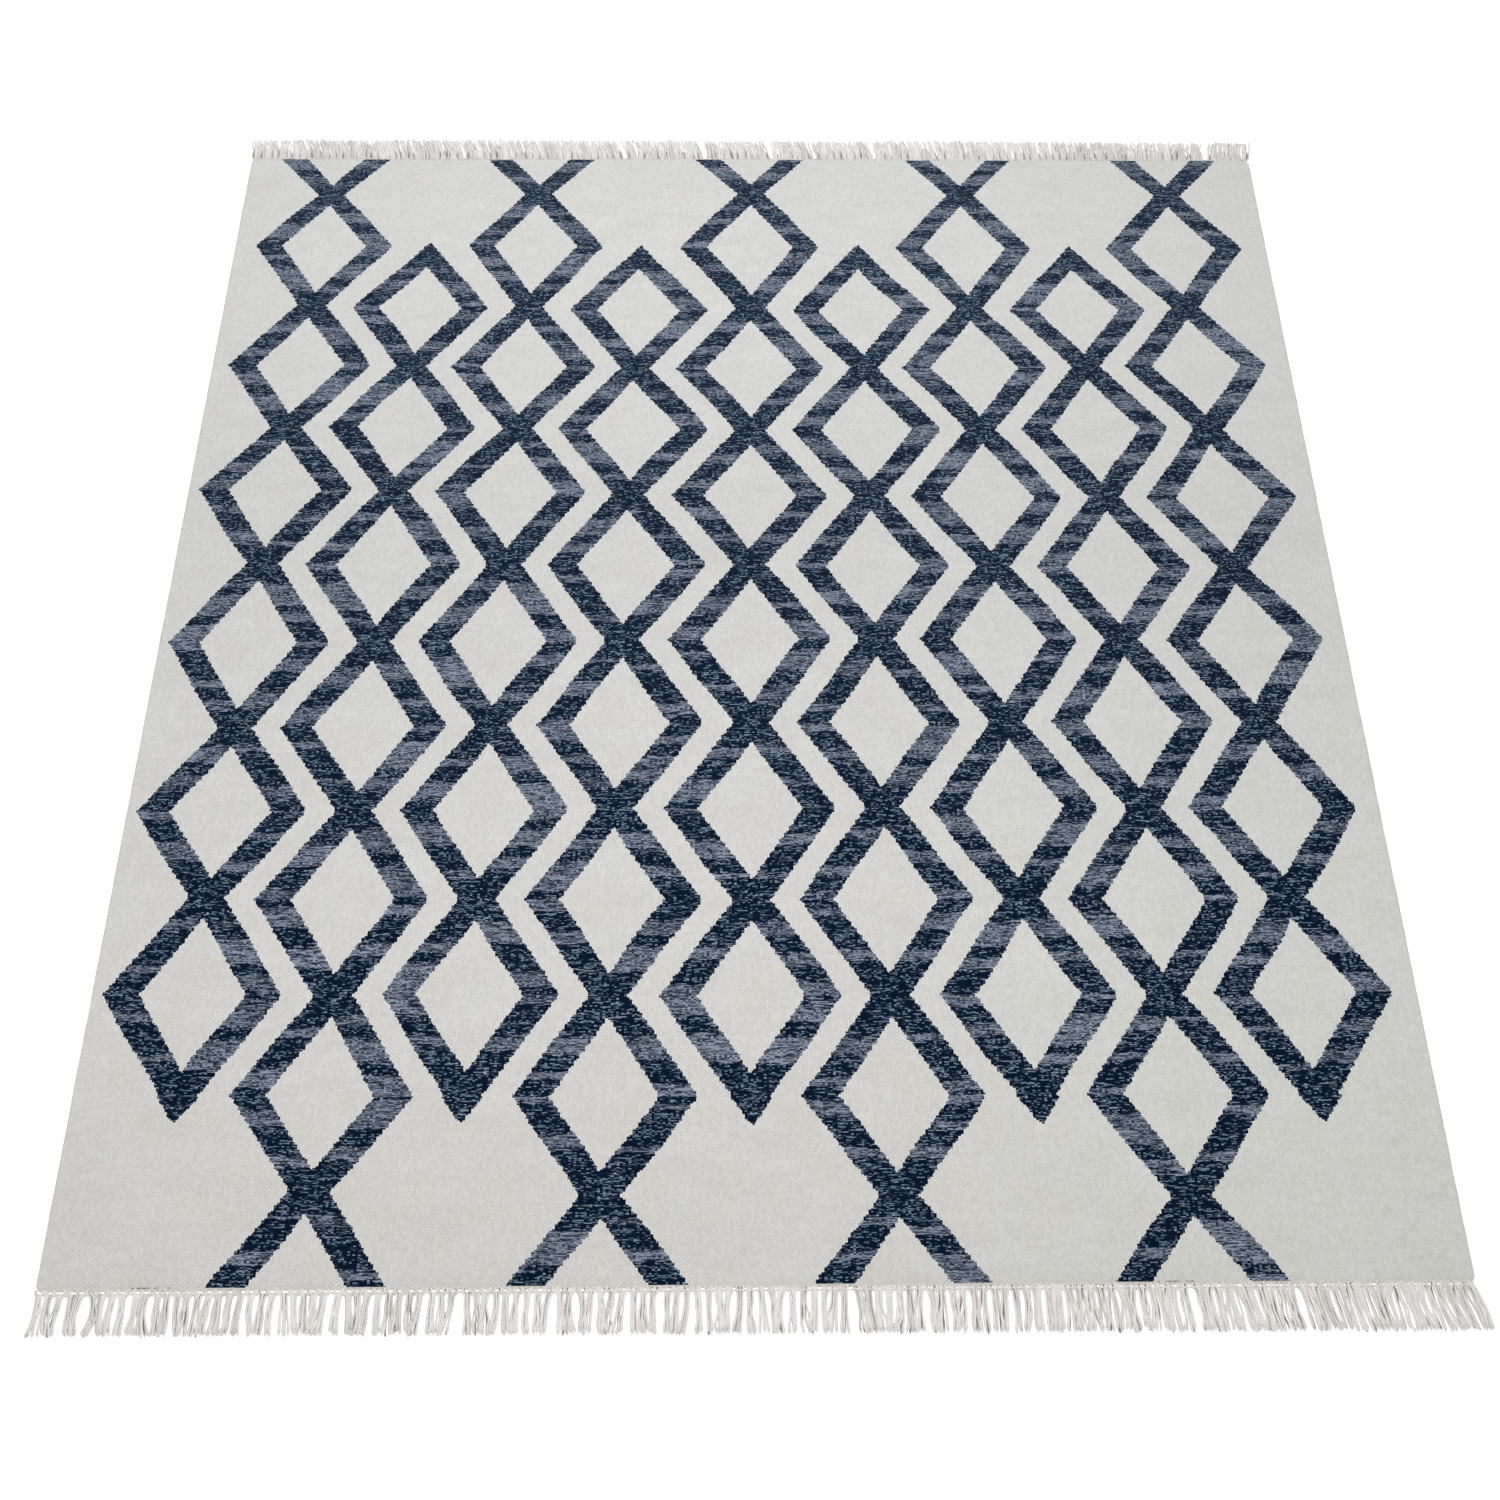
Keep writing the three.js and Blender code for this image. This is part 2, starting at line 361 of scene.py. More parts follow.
    # Both yarns are marled: one ply is lighter, and shows as dots and short dashes along a pick.
    # The navy is a little paler towards the far end.
    bead_draw = node(kilim, "TexWhiteNoise", {"Vector": bead}, noise_dimensions="3D")
    stitch_draw = node(kilim, "TexWhiteNoise", {"Vector": stitch}, noise_dimensions="3D")
    marl = node(kilim, "Math", (stitch_draw, 0.15, yarn), operation="MULTIPLY_ADD")
    fleck = node(kilim, "MapRange", (marl, 0.68, 0.8, 0.0, 1.0))
    far_lot = node(kilim, "MapRange", (level, 10.0, 0.0, 0.0, 0.05))
    navy_mix = node(kilim, "Math", (fleck, far_lot), operation="ADD", use_clamp=True)
    grey_mix = node(kilim, "MapRange", (marl, 0.56, 0.72, 0.0, 1.0))
    navy_deep = linear("#03172e")
    navy_fleck = linear("#8499ae")
    grey_deep = linear("#2e3749")
    grey_fleck = linear("#9aa4b6")
    navy = node(kilim, "Mix", {0: navy_mix, 6: navy_deep, 7: navy_fleck}, 2, data_type="RGBA")
    grey = node(kilim, "Mix", {0: grey_mix, 6: grey_deep, 7: grey_fleck}, 2, data_type="RGBA")
    dyed = node(kilim, "Mix", {0: grey_share, 6: navy, 7: grey}, 2, data_type="RGBA")

    # The ground is undyed wool: off-white, with a mottle of patches 5 to 10 cm across, uneven picks
    # in streaks 5 cm long, and a few darker beads.
    mottle_spot = node(kilim, "VectorMath", (threads, (0.03, 0.03, 1.0)), operation="MULTIPLY")
    mottle = node(kilim, "TexNoise", {"Vector": mottle_spot, "Scale": 1.0, "Detail": 2.0})
    streak_spot = node(kilim, "VectorMath", (threads, (0.06, 0.63, 1.0)), operation="MULTIPLY")
    streak = node(kilim, "TexNoise", {"Vector": streak_spot, "Scale": 1.0, "Detail": 1.0})
    ground_bead = node(kilim, "Math", (bead_draw, 0.2, -0.1), operation="MULTIPLY_ADD")
    ground_pick = node(kilim, "Math", (streak, 0.5, ground_bead), operation="MULTIPLY_ADD")
    ground_dash = node(kilim, "Math", (yarn, 0.2, ground_pick), operation="MULTIPLY_ADD")
    ground_mix = node(kilim, "Math", (mottle, 0.5, ground_dash), operation="MULTIPLY_ADD")
    ground_low = linear("#cbcbc8")
    ground_high = linear("#e1e1df")
    wool = node(kilim, "Mix", {0: ground_mix, 6: ground_low, 7: ground_high}, 2, data_type="RGBA")

    # It is a little warmer in patches 4 to 7 cm across and towards the near end: pink at the left,
    # straw at the right.
    plain = (1, 1, 1, 1)
    pink = (1, 0.962, 0.92, 1)
    straw = (0.98, 0.995, 0.92, 1)
    tint_spot = node(kilim, "VectorMath", (threads, (0.07, 0.02, 1.0)), operation="MULTIPLY")
    tint_noise = node(kilim, "TexNoise", {"Vector": tint_spot, "Scale": 1.0, "Detail": 1.0})
    near_warmth = node(kilim, "MapRange", (level, 4.0, 13.0, -0.6, -0.15))
    warmed = (tint_noise, 1.2, near_warmth)
    warmth = node(kilim, "Math", warmed, operation="MULTIPLY_ADD", use_clamp=True)
    to_right = node(kilim, "MapRange", (warps, 0.0, 260.0, 0.0, 1.0))
    warm = node(kilim, "Mix", {0: to_right, 6: pink, 7: straw}, 2, data_type="RGBA")
    tint = node(kilim, "Mix", {0: warmth, 6: plain, 7: warm}, 2, data_type="RGBA")
    ground = node(kilim, "VectorMath", (wool, tint), operation="MULTIPLY")

    # The near end has a heading of thick cotton, and at two places a few ends of navy lie along
    # the pick beside it.
    heading_depth = 0.003
    stray_depth = 0.0038
    from_end = node(kilim, "Attribute", output=2, attribute_name="from_end")
    near_end = node(kilim, "Math", (level, 13.0), operation="GREATER_THAN")
    last_picks = node(kilim, "Math", (from_end, heading_depth), operation="LESS_THAN")
    in_heading = node(kilim, "Math", (last_picks, near_end), operation="MULTIPLY")
    beside = node(kilim, "Math", (from_end, stray_depth), operation="LESS_THAN")
    stray_left = node(kilim, "Math", (warps, -213.0, 8.0), operation="COMPARE")
    stray_right = node(kilim, "Math", (warps, 148.0, 15.0), operation="COMPARE")
    stray = node(kilim, "Math", (stray_left, stray_right), operation="MAXIMUM")
    stray_draw = node(kilim, "TexWhiteNoise", {"W": warp}, noise_dimensions="1D")
    seen = node(kilim, "Math", (stray_draw, 0.55), operation="GREATER_THAN")
    stray_pick = node(kilim, "Math", (beside, near_end), operation="MULTIPLY")
    stray_seen = node(kilim, "Math", (stray, seen), operation="MULTIPLY")
    dashed = node(kilim, "Math", (stray_seen, stray_pick), operation="MULTIPLY")
    coloured = node(kilim, "Math", (in_arm, dashed), operation="MAXIMUM")
    face = node(kilim, "Mix", {0: coloured, 6: ground, 7: dyed}, 2, data_type="RGBA")
    heading = linear("#e2dbd5")
    whole = node(kilim, "Mix", {0: in_heading, 6: face, 7: heading}, 2, data_type="RGBA")

    def bulge(turns):
        """The size of a sine, which rises and falls once from each whole number to the next."""
        angle = node(kilim, "Math", (turns, np.pi), operation="MULTIPLY")
        sine = node(kilim, "Math", (angle,), operation="SINE")
        return node(kilim, "Math", (sine,), operation="ABSOLUTE")

    # The beads' relief, also painted into the colour: painted shade in the hollows between them,
    # deepest in the navy, and a little painted light on their tops.
    side_wall = node(kilim, "Math", (bulge(warps), 0.3, 0.7), operation="MULTIPLY_ADD")
    rounded_end = node(kilim, "Math", (bulge(beads_down), 0.6), operation="POWER")
    relief = node(kilim, "Math", (side_wall, rounded_end), operation="MULTIPLY")
    hollow = node(kilim, "MapRange", (coloured, 0.0, 1.0, 0.82, 0.62))
    hollow_floor = node(kilim, "Math", (bead_draw, 0.2, hollow), operation="MULTIPLY_ADD")
    bead_shade = node(kilim, "MapRange", (relief, 0.0, 1.0, hollow_floor, 1.04))

    # Painted shade: the middle of the rug is painted a little darker than its ends, for light that
    # falls dimmer there.
    half_way = node(kilim, "Math", (level, 5.5), operation="SUBTRACT")
    away = node(kilim, "Math", (half_way,), operation="ABSOLUTE")
    middle_shade = node(kilim, "MapRange", (away, 0.0, 5.0, 0.915, 0.985))
    shade = node(kilim, "Math", (bead_shade, middle_shade), operation="MULTIPLY")
    shaded = node(kilim, "VectorMath", {0: whole, "Scale": shade}, operation="SCALE")
    kilim.node_tree.links.new(shaded, shader.inputs["Base Color"])
    rough_bead = node(kilim, "Math", (bead_draw, 0.5, relief), operation="MULTIPLY_ADD")
    bump_inputs = {"Strength": 1.0, "Distance": 0.0004, "Height": rough_bead}
    normal = node(kilim, "Bump", bump_inputs)
    kilim.node_tree.links.new(normal, shader.inputs["Normal"])
    return kilim


kilim = kilim_weave()


def kilim_cloth():
    """The cloth's face and back on one grid of across and along, joined at their rims.

    A point lies at its share of the way between the two skewed ends. The face stands above the
    middle layer, and the back below it, by half the thickness times a quarter round at the rim.
    The middle layer itself rises and sinks in slow waves.
    """
    across, along = np.meshgrid(
        stations(2 * half_width - 2 * tucked_in, edge_stations, cloth_cell),
        stations(2 * half_length, edge_stations, cloth_cell),
        indexing="ij",
    )
    x_plain = across - across.max() / 2
    share = along / along.max()
    from_side = np.minimum(across, across.max() - across)
    from_end = np.minimum(along, along.max() - along)
    x = x_plain * (1 - np.interp(from_end, *corner_round) / half_width)
    y = share * end_line(x, back_skew) - (1 - share) * end_line(x, front_skew)
    from_rim = np.minimum(from_side, from_end)
    inward = np.clip(1 - from_rim / edge_round, 0, 1)
    half_here = thickness / 2 * np.interp(along, *near_thinning)
    swell = np.sqrt(1 - inward**2) * half_here
    lift = np.abs(wander(x, y, *slow_waves))
    rise = wander(x, y, *dimples)
    warps, picks = thread_counts(x, y)
    front = np.stack([x, y, half_here + lift + swell + rise * (swell > 0)], -1)
    back = np.stack([x, y, half_here + lift - swell], -1)

    # The back has the face's own points at its rim, and points of its own within it.
    number = np.arange(x.size).reshape(x.shape)
    rim = from_rim == 0
    under = np.where(rim, number, 0)
    under[~rim] = x.size + np.arange((~rim).sum())
    points = np.concatenate([front.reshape(-1, 3), back[~rim]]) + (middle_x, middle_y, 0)
    quads = [number[:-1, :-1], number[1:, :-1], number[1:, 1:], number[:-1, 1:]]
    turned = [under[:-1, :-1], under[:-1, 1:], under[1:, 1:], under[1:, :-1]]
    faces = np.concatenate([np.stack(each, -1).reshape(-1, 4) for each in (quads, turned)])

    def on_both(value):
        """A value of the grid for each point of the face and then for each one of the back."""
        return np.concatenate([value.ravel(), value[~rim]])

    threads = np.stack([on_both(warps), on_both(picks)], -1)
    plan = np.stack([on_both(across / across.max()), on_both(share)], -1)
    cloth = mesh_piece("kilim_cloth", points, [faces], kilim, threads=threads, OFBake=plan)
    point_value(cloth, "from_end", on_both(from_end))
    return cloth


cloth = kilim_cloth()
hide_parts("woven_field")
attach(cloth, "root")


# The selvedges: the wool weft turns back round the outermost warps, once for each bead, which
# makes a row of small knuckles down both long sides.
knuckle = bead_picks * pick_pitch
knuckle_steps = 5
selvedge_radius = 0.0018
selvedge_swell = 0.0003
selvedge_sides = 8
selvedge_inset = 0.003
selvedge_wander = (0.0002, 0.03)
tip_share = 0.35
tip_length = 0.006


def tube(path, radius, sides):
    """Closed tubes along paths of shape (tubes, steps, 3), with one radius for each step.

    Each ring is a circle square to its path, from its right side round over its top. Returns the
    points, the faces along the sides and those that close the two ends.
    """
    ahead = np.gradient(path, axis=1)
    ahead = ahead / np.linalg.norm(ahead, axis=-1, keepdims=True)
    side = np.cross(ahead, (0, 0, 1))
    side = side / np.linalg.norm(side, axis=-1, keepdims=True)
    above = np.cross(side, ahead)
    turn = 2 * np.pi * np.arange(sides) / sides
    rings = np.cos(turn)[:, None] * side[..., None, :] + np.sin(turn)[:, None] * above[..., None, :]
    points = path[..., None, :] + np.asarray(radius)[..., None, None] * rings
    tubes, steps = path.shape[:2]
    number = np.arange(tubes * steps * sides).reshape(tubes, steps, sides)
    after = np.roll(number, -1, axis=2)
    quads = [number[:, :-1], number[:, 1:], after[:, 1:], after[:, :-1]]
    faces = np.stack(quads, -1).reshape(-1, 4)
    caps = np.concatenate([number[:, 0], number[:, -1, ::-1]])
    return points.reshape(-1, 3), faces, caps


def selvedges():
    """Two tubes down the long sides. Their radius swells as the sine of the turns of weft."""
    steps = int(2 * half_length / knuckle) * knuckle_steps
    share = np.linspace(0, 1, steps + 1)
    sides = np.array([-1, 1])[:, None]
    x = sides * (half_width - selvedge_radius - selvedge_swell / 2) * np.ones_like(share)
    back_y = end_line(x, back_skew) - selvedge_inset
    front_y = end_line(x, front_skew) - selvedge_inset
    y = share * back_y - (1 - share) * front_y
    turns = np.abs(np.sin(np.pi * steps / knuckle_steps * share + sides))
    to_tip = np.minimum(share, 1 - share) * 2 * half_length
    taper = np.minimum(1, tip_share + to_tip / tip_length)
    radius = (selvedge_radius + selvedge_swell * (turns - 0.5)) * taper
    corner = np.interp(to_tip + selvedge_inset, *corner_round)
    x = x + wander(x, y, *selvedge_wander) - sides * corner
    path = np.stack([x, y, np.full(x.shape, thickness / 2)], -1)
    points, faces, caps = tube(path, radius, selvedge_sides)
    warps, picks = thread_counts(points[:, 0], points[:, 1])
    height = (points[:, 2] - thickness / 2) / warp_pitch
    threads = np.stack([warps + height, picks], -1)
    along = np.repeat(np.tile(share, 2), selvedge_sides)
    around = np.tile(np.arange(selvedge_sides) / (selvedge_sides - 1), 2 * len(share))
    plan = np.stack([around, along], -1)
    points = points + (middle_x, middle_y, 0)
    piece = mesh_piece("selvedge_turns", points, [faces, caps], kilim, threads=threads, OFBake=plan)
    # The heading doesn't go round the selvedges, so all of them counts as far from an end.
    point_value(piece, "from_end", np.full(len(points), 0.05))
    return piece


selvedge = selvedges()
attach(selvedge, "root")


# The fringes: the cotton warps go on past the cloth, drawn as 5 yarns to a lock at the near end
# and 7 at the far one. Two strands twined round each lock hold the weft in place, and beyond them
# the locks fan out and lie loose on the floor.
locks = 136
lock_pitch = 2 * half_width / locks
yarn_sides = 5
twining_out = 0.0039
twining_turn = 0.0007
twining_height = 0.0016
twining_radius = 0.0008
twining_steps = 8
twining_sides = 6
twining_inset = 0.0012

# Stations along a yarn: in the cloth, at its edge and on both sides of the twining, and then at
# shares of the way from there to its tip.
yarn_start = np.array([-0.0025, 0.0006, twining_out - 0.0014, twining_out + 0.001])
yarn_way = np.append(np.linspace(0, 0.97, 11)[1:], 1) ** 1.15
yarn_share = np.concatenate([np.zeros(len(yarn_start)), yarn_way])
yarn_steps = len(yarn_share)

# How a lock's sway grows along it, and how far the locks give way on each side of a parting.
sway_along = ([0, 0.35, 0.7, 1], [0, 0.22, 0.62, 1])
sway_uneven = 0.0008
parting_push = 0.003
parting_spread = 0.016

# How uneven the locks are at their roots. The twining squeezes one in four less than the others.
root_uneven = 0.0005
squeeze_range = (0.9, 1.5)
loose_part = 0.25
looseness = 1.7
lock_tone_uneven = 0.1
seam_patch_length = 0.05
seam_seat_reach = 0.7

# A lock's width just past the twining and where it comes free, as shares of its width in it, over
# what share of its length it then spreads, and how far the outermost keep from the cloth's side.
width_past_twining = 1.5
width_come_free = 1.4
spreading = 0.07
held_room = 0.0042
free_room = 0.0015

# How uneven the yarns of a lock are: in their seats at the tip, their ends and how high they arch.
tip_seat_uneven = 0.35
tip_uneven = 0.003
arch_height = 0.0007
outermost_seam = 0.9

# A yarn starts at 0.3 of the cloth's thickness, comes down to the floor within some 6 mm, and lies
# on those below it. Painted light makes it paler on top and painted shade darker underneath, and
# its tone wavers along it.
start_height = 0.3
come_down_way = 0.006
layer_rise = 0.7
layer_reached = 0.2
painted_top_light = 0.32
tone_waver = 0.06


def uneven(n, seed):
    """A repeatable unevenness from -1 to 1 for the n-th of something."""
    wave = np.sin(n * 12.9898 + seed * 78.233) * 43758.5453
    return 2 * (wave - np.floor(wave)) - 1


def warp_cotton():
    """Undyed cotton warp: matt off-white, two plies twisted together, with painted shade between the
    yarns.
    """
    cotton, shader = new_material("warp_cotton", 0.95)
    tone = node(cotton, "Attribute", output=2, attribute_name="tone")
    twist = node(cotton, "UVMap", uv_map="twist")
    across = node(cotton, "SeparateXYZ", (twist,), 0)
    along = node(cotton, "SeparateXYZ", (twist,), 1)

    # Two plies make a full turn each 5 mm of yarn, painted as faint stripes of shade along the twist.
    # A fibre is far too fine to show, so the noise is that of tufts about 1 mm across, and of paler
    # and browner stretches of 17 mm.
    turn_length = 0.005
    turns = node(cotton, "Math", (along, 1 / turn_length, across), operation="MULTIPLY_ADD")
    angle = node(cotton, "Math", (turns, 2 * np.pi), operation="MULTIPLY")
    ply = node(cotton, "Math", (angle,), operation="SINE")
    place = node(cotton, "TexCoord", output=3)
    fibre = node(cotton, "TexNoise", {"Vector": place, "Scale": 900.0, "Detail": 2.0})
    blotch = node(cotton, "TexNoise", {"Vector": place, "Scale": 60.0, "Detail": 1.0})
    ply_shade = node(cotton, "Math", (ply, 0.05, tone), operation="MULTIPLY_ADD")
    fibre_shade = node(cotton, "Math", (fibre, 0.2, ply_shade), operation="MULTIPLY_ADD")
    whole_shade = node(cotton, "Math", (blotch, 0.3, fibre_shade), operation="MULTIPLY_ADD")
    # The brown end is the yarns' own browner tone, and also the painted shade of seams and undersides.
    brown_and_shade = linear("#8f847b")
    off_white = linear("#f1eeeb")
    colour = node(cotton, "Mix", {0: whole_shade, 6: brown_and_shade, 7: off_white}, 2, data_type="RGBA")

    # The warps towards the far end are a little cooler in colour.
    plain = (1, 1, 1, 1)
    whiter = (0.985, 1, 1.015, 1)
    far_way = node(cotton, "SeparateXYZ", (place,), 1)
    at_far_end = node(cotton, "MapRange", (far_way, -1.0, 1.0, 0.0, 1.0))
    far_tint = node(cotton, "Mix", {0: at_far_end, 6: plain, 7: whiter}, 2, data_type="RGBA")
    far_tinted = node(cotton, "VectorMath", (colour, far_tint), operation="MULTIPLY")
    cotton.node_tree.links.new(far_tinted, shader.inputs["Base Color"])
    height = node(cotton, "Math", (fibre, 0.6, ply), operation="MULTIPLY_ADD")
    bump = node(cotton, "Bump", {"Strength": 0.7, "Distance": 0.0002, "Height": height})
    cotton.node_tree.links.new(bump, shader.inputs["Normal"])
    return cotton


cotton = warp_cotton()


def lay_of_locks(end, deal):
    """Arrays with one row for each lock, from the values of its end and the deal of random draws.

    A lock's tip sways by the lean of its end there, and away from each parting by a push that
    fades as an exponential. Its spread, half its width at each station, fades in the same way from
    what the twining binds to its free width. The outermost locks stay within the cloth's corners.
    """
    n = np.arange(locks)
    root_x = -half_width + (n + 0.5) * lock_pitch
    from_parting = root_x - np.array(end["partings"])[:, None]
    give = np.array(end["give"])[:, None] * np.sign(from_parting)
    push = parting_push * np.sum(give * np.exp(-np.abs(from_parting) / parting_spread), axis=0)
    sway = np.interp(root_x, *end["lean"]) + push + sway_uneven * uneven(n, end["seed"])
    sway = sway + np.interp(root_x, *end["unsettled"]) * deal.uniform(-1, 1, locks)
    fan = deal.uniform(*end["fan"], locks)
    bow = deal.normal(0, end["bow"], locks)
    squeeze = deal.uniform(*squeeze_range, locks)
    squeeze = squeeze * np.where(deal.uniform(0, 1, locks) < loose_part, looseness, 1)
    root = root_x + (deal.normal(0, root_uneven, locks) + push)
    tone = deal.uniform(-lock_tone_uneven, lock_tone_uneven, locks)
    seams = end["seams"] + wander(root_x, 0 * root_x, end["patches"], seam_patch_length)
    seam_seat = deal.uniform(-seam_seat_reach, seam_seat_reach, locks)

    # Half a lock's width: three stations up to the twining, one just past it, and the free ones.
    bound = np.interp(root_x, *end["bound"])
    free_width = np.interp(root_x, *end["half_widths"])
    past = np.outer(width_past_twining * bound, [0, 0, 0, 1])
    held = np.outer(bound * squeeze, [1, 1, 1, 0]) + past
    narrower = width_come_free * bound - free_width
    free = free_width[:, None] + np.outer(narrower, np.exp(-yarn_way / spreading))
    room = (half_width - np.abs(root_x))[:, None]
    held = np.minimum(held, room - held_room)
    free = np.minimum(free, room - free_room)
    return {
        "root": root,
        "length": np.interp(root_x, *end["tips"]) - end_line(root_x, end["skew"]) - twining_out,
        "sway": sway,
        "bow": bow,
        "fan": fan,
        "spread": np.concatenate([held, free], axis=1),
        "come_over": np.interp(root_x, *end["regroup"]),
        "to_neighbour": lock_pitch / 2 - bound,
        "tone": tone,
        "seams": seams,
        "seam_seat": seam_seat,
    }


def twined_strands(skew, out):
    """Two strands along an end, which change places over and under at every gap between locks.

    Each winds round their middle line by half a turn a lock: by the cosine of the turn out and
    back, and by its sine up and down. Returns their points, sides and ends, and their twist map.
    """
    steps = locks * twining_steps
    walk = np.linspace(-half_width + twining_inset, half_width - twining_inset, steps)
    strand = np.array([0, np.pi])[:, None]
    turn = np.pi * (walk + half_width) / lock_pitch - np.pi / 2 + strand
    y = out * (end_line(walk, skew) + twining_out + twining_turn * np.cos(turn))
    z = twining_height + twining_turn * np.sin(turn)
    path = np.stack([np.tile(walk, (2, 1)), y, z], -1)
    points, faces, caps = tube(path, np.full(z.shape, twining_radius), twining_sides)
    around = np.tile(np.arange(twining_sides) / twining_sides, 2 * steps)
    far = np.repeat(np.tile(walk, 2), twining_sides)
    return points, faces, caps, np.stack([around, far], -1)


def fringe(name, out, end, node_name):
    """One end's fringe. A yarn's way across is its root, the sway of its lock and its own straying.

    The lock's sway grows along it as in the frame's solid, its yarns keep their seats side by side
    while it fans out, and each strays by a slow sine. Between the cloth and the twining, come_over
    is the share of the way that yarns come over from the neighbour's place, in half locks.
    """
    deal = np.random.default_rng(end["seed"])
    lay = lay_of_locks(end, deal)
    yarns = end["yarns"]
    count = locks * yarns
    lock = np.repeat(np.arange(locks), yarns)
    of_lock = {key: rows[lock] for key, rows in lay.items()}

    # One row for each yarn of each lock. A yarn in a seam is thinner, lies lowest, and gets painted
    # shade along part of its length.
    seat = np.tile(np.linspace(-1, 1, yarns), locks)
    side = np.where(seat == 0, np.where(lock % 2 == 0, 1, -1), np.sign(seat))
    near_seam = np.abs(seat - of_lock["seam_seat"]) < end["seam_width"]
    near_seam = near_seam & (np.abs(seat) < outermost_seam)
    in_turn = np.tile(np.arange(yarns) % end["seam_every"] == end["seam_every"] - 1, locks)
    shaded = (deal.uniform(0, 1, count) < of_lock["seams"]) & near_seam & in_turn
    radius = deal.uniform(*end["radii"], count) * np.where(shaded, end["seam_thin"], 1)
    tip_seat = seat * of_lock["fan"] + deal.normal(0, tip_seat_uneven, count)
    stray = deal.normal(0, end["stray"], count)
    stray_phase = deal.uniform(0, 2 * np.pi, count)
    layer = deal.integers(0, 3, count) * ~shaded
    shorter = np.abs(deal.normal(0, end["ragged"], count))
    reach = of_lock["length"] * (1 - shorter) + deal.uniform(0, tip_uneven, count)
    arch = np.abs(deal.normal(0, arch_height, count))

    # Each yarn's path, one point for each station.
    share = yarn_share
    start = np.tile(yarn_start, (count, 1))
    out_way = np.concatenate([start, twining_out + reach[:, None] * yarn_way], axis=1)
    before = np.array([1, 1, 1, 0.3] + [0] * len(yarn_way))
    x = (
        of_lock["root"][:, None]
        + of_lock["spread"] * (seat[:, None] + share**1.2 * (tip_seat - seat)[:, None])
        + of_lock["come_over"][:, None] * before * (side * of_lock["to_neighbour"])[:, None]
        + of_lock["sway"][:, None] * np.interp(share, *sway_along)
        + of_lock["bow"][:, None] * np.sin(np.pi * share)
        + stray[:, None] * np.sin(3 * np.pi * share + stray_phase[:, None]) * share**0.5
    )
    y = out * (end_line(x, end["skew"]) + out_way)
    taper = np.append(np.interp(share, [0, 0.6, 0.9], [1, 1.05, end["frayed"]])[:-1], 0.5)
    thick = radius[:, None] * taper
    piled = layer_rise * layer[:, None] * np.minimum(1, share / layer_reached)
    floor_z = thick * (1 + piled)
    lift = arch[:, None] * np.sin(np.pi * share) ** 2
    come_down = np.exp(-((np.maximum(out_way, 0) / come_down_way) ** 2))
    z = thickness * start_height * come_down + (floor_z + lift) * (1 - come_down)
    path = np.stack([x, y, np.maximum(z, thick)], -1)
    points, faces, caps = tube(path, thick, yarn_sides)

    # How pale each point is: less in a seam and on a yarn's underside, both painted shade, more on its
    # top, which is painted light, and more towards its tip.
    own_tone = deal.uniform(*end["tone"], count) + of_lock["tone"]
    wave = np.sin(2 * np.pi * (0.9 * share + deal.uniform(*end["seam_turn"], (count, 1))))
    in_shade = shaded[:, None] * np.maximum(wave, 0)
    paler = end["paler_tips"] * share
    yarn_tone = own_tone[:, None] + tone_waver * wave - end["seam_shade_depth"] * in_shade + paler
    round_height = np.sin(2 * np.pi * np.arange(yarn_sides) / yarn_sides)
    tone = np.repeat(yarn_tone, yarn_sides, axis=1).ravel()
    tone = tone + painted_top_light * np.tile(round_height, count * yarn_steps)
    around = np.tile(np.arange(yarn_sides) / yarn_sides, count * yarn_steps)
    far = np.repeat(out_way.ravel(), yarn_sides)

    strand_points, strand_faces, strand_caps, strand_twist = twined_strands(end["skew"], out)
    shift = len(points)
    points = np.concatenate([points, strand_points]) + (middle_x, middle_y, 0)
    tone = np.concatenate([tone, np.full(len(strand_points), end["twining_tone"])])
    twist = np.concatenate([np.stack([around, far], -1), strand_twist])
    groups = [faces, strand_faces + shift, caps, strand_caps + shift]
    piece = mesh_piece(name, points, groups, cotton, twist=twist)
    point_value(piece, "tone", tone)
    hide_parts(node_name)
    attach(piece, "root")
    return piece
